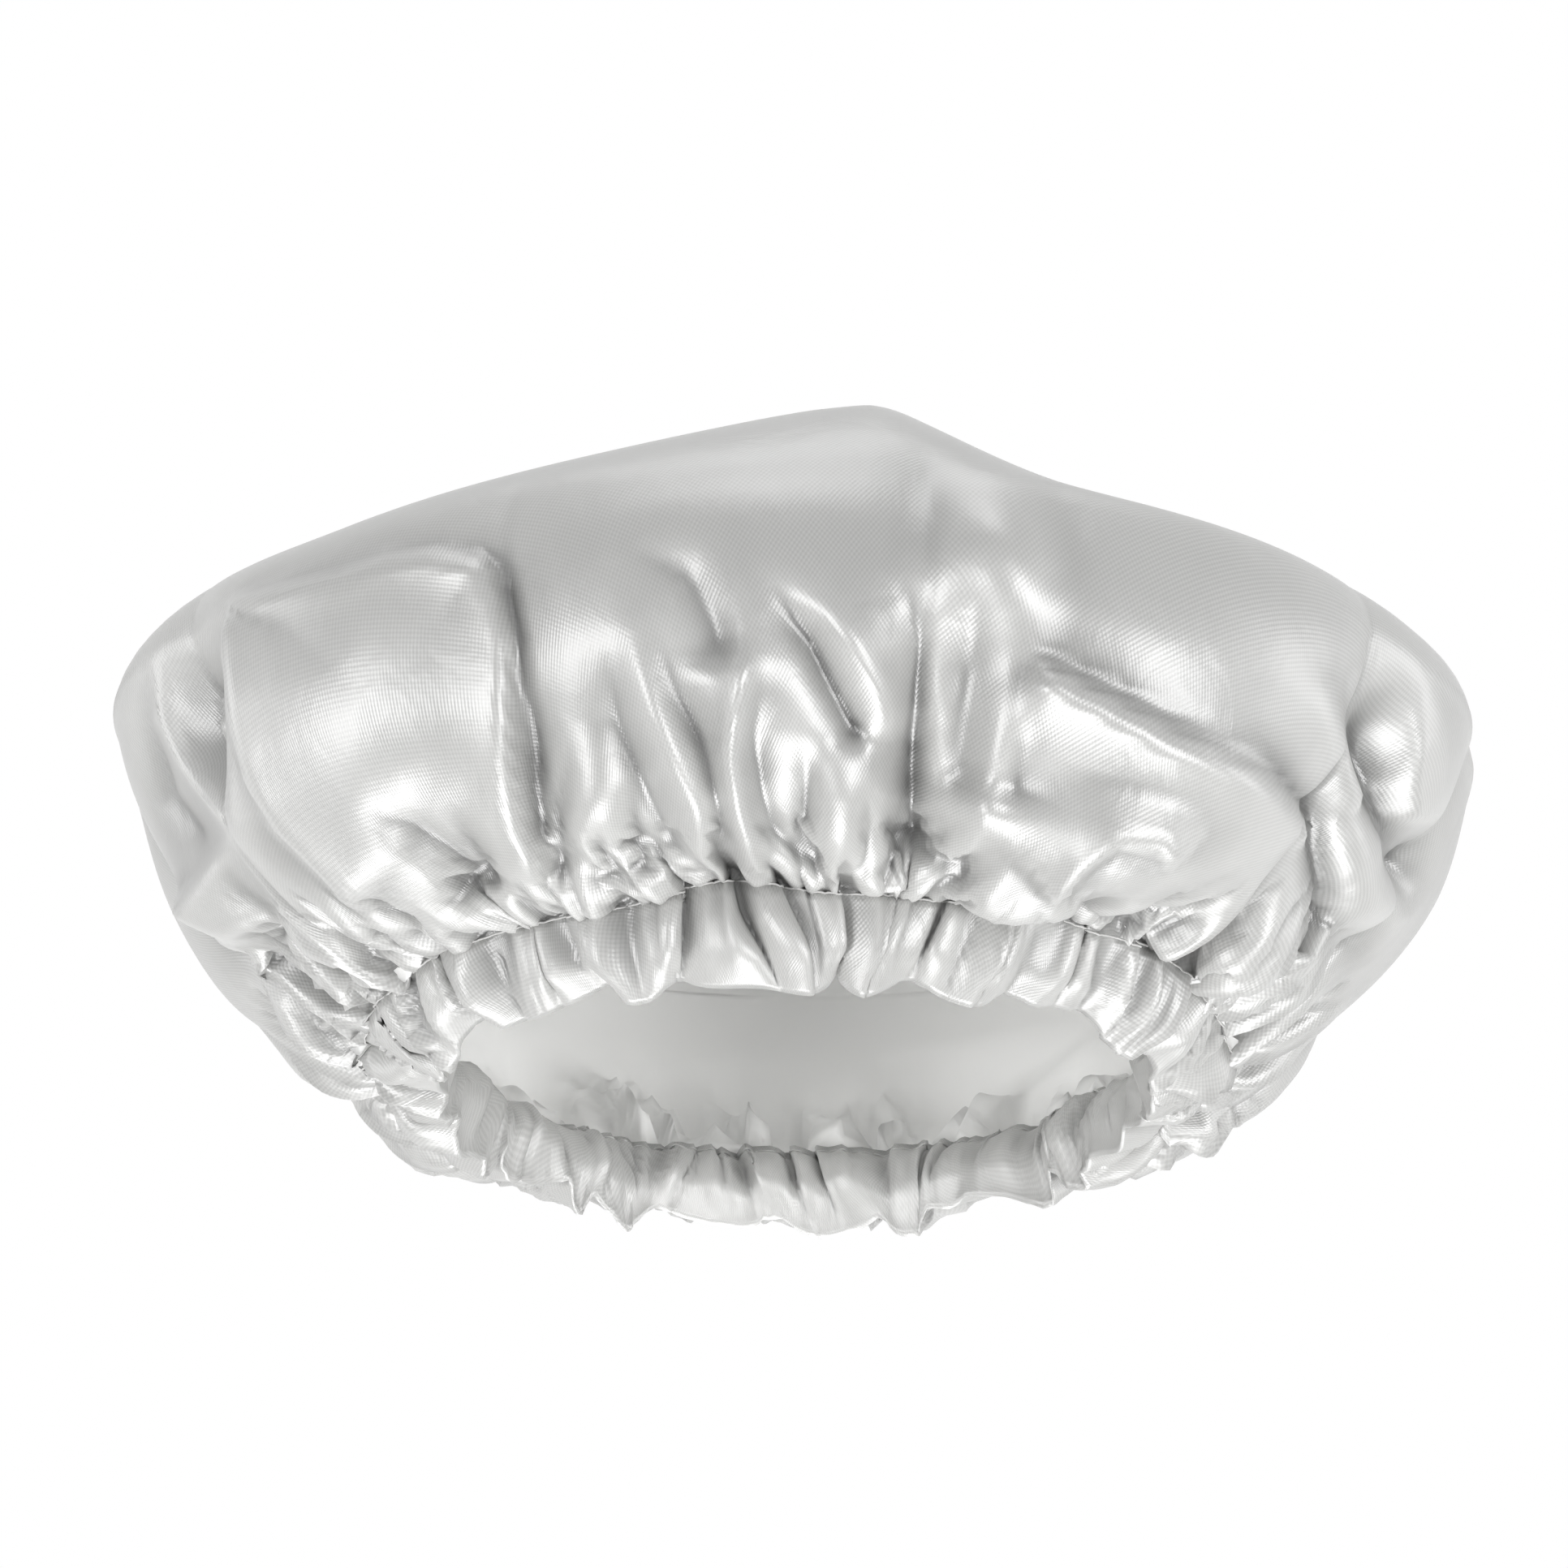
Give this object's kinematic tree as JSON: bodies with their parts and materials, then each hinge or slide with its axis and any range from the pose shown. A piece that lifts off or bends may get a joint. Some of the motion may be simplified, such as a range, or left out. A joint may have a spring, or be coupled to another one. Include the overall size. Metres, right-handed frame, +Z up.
{
  "type": "shower cap",
  "caption": "Puffed satin shower cap with a waterproof film lining and a gathered elastic hem, worn over the hair to keep it dry.",
  "frame": {"origin": "centre of the head opening, level with the hem seam, where a head holds the cap", "axes": "+Z up through the crown as worn, -Y to the front, +X to the wearer's left"},
  "size_m": [0.2852, 0.2867, 0.1347],
  "materials": {
    "satin": "white satin weave with a silky sheen",
    "film": "thin milky translucent film",
    "elastic": "white knitted elastic",
    "thread": "white polyester sewing thread"
  },
  "bodies": {
    "cap": {"satin_shell": "satin", "film_liner": "film", "hem_needle_thread": "thread", "hem_bobbin_thread": "thread"},
    "elastic": {"elastic_band": "elastic", "elastic_lap_tack": "thread"}
  },
  "joints": [
    {"name": "rear_stretch", "type": "slide", "parent": "cap", "child": "elastic", "axis": [0, 1, 0], "range_m": [0, 0.06], "stiffness_N_per_m": 70, "deforming": ["satin_shell", "film_liner", "elastic_band", "hem_needle_thread", "hem_bobbin_thread"]}
  ]
}
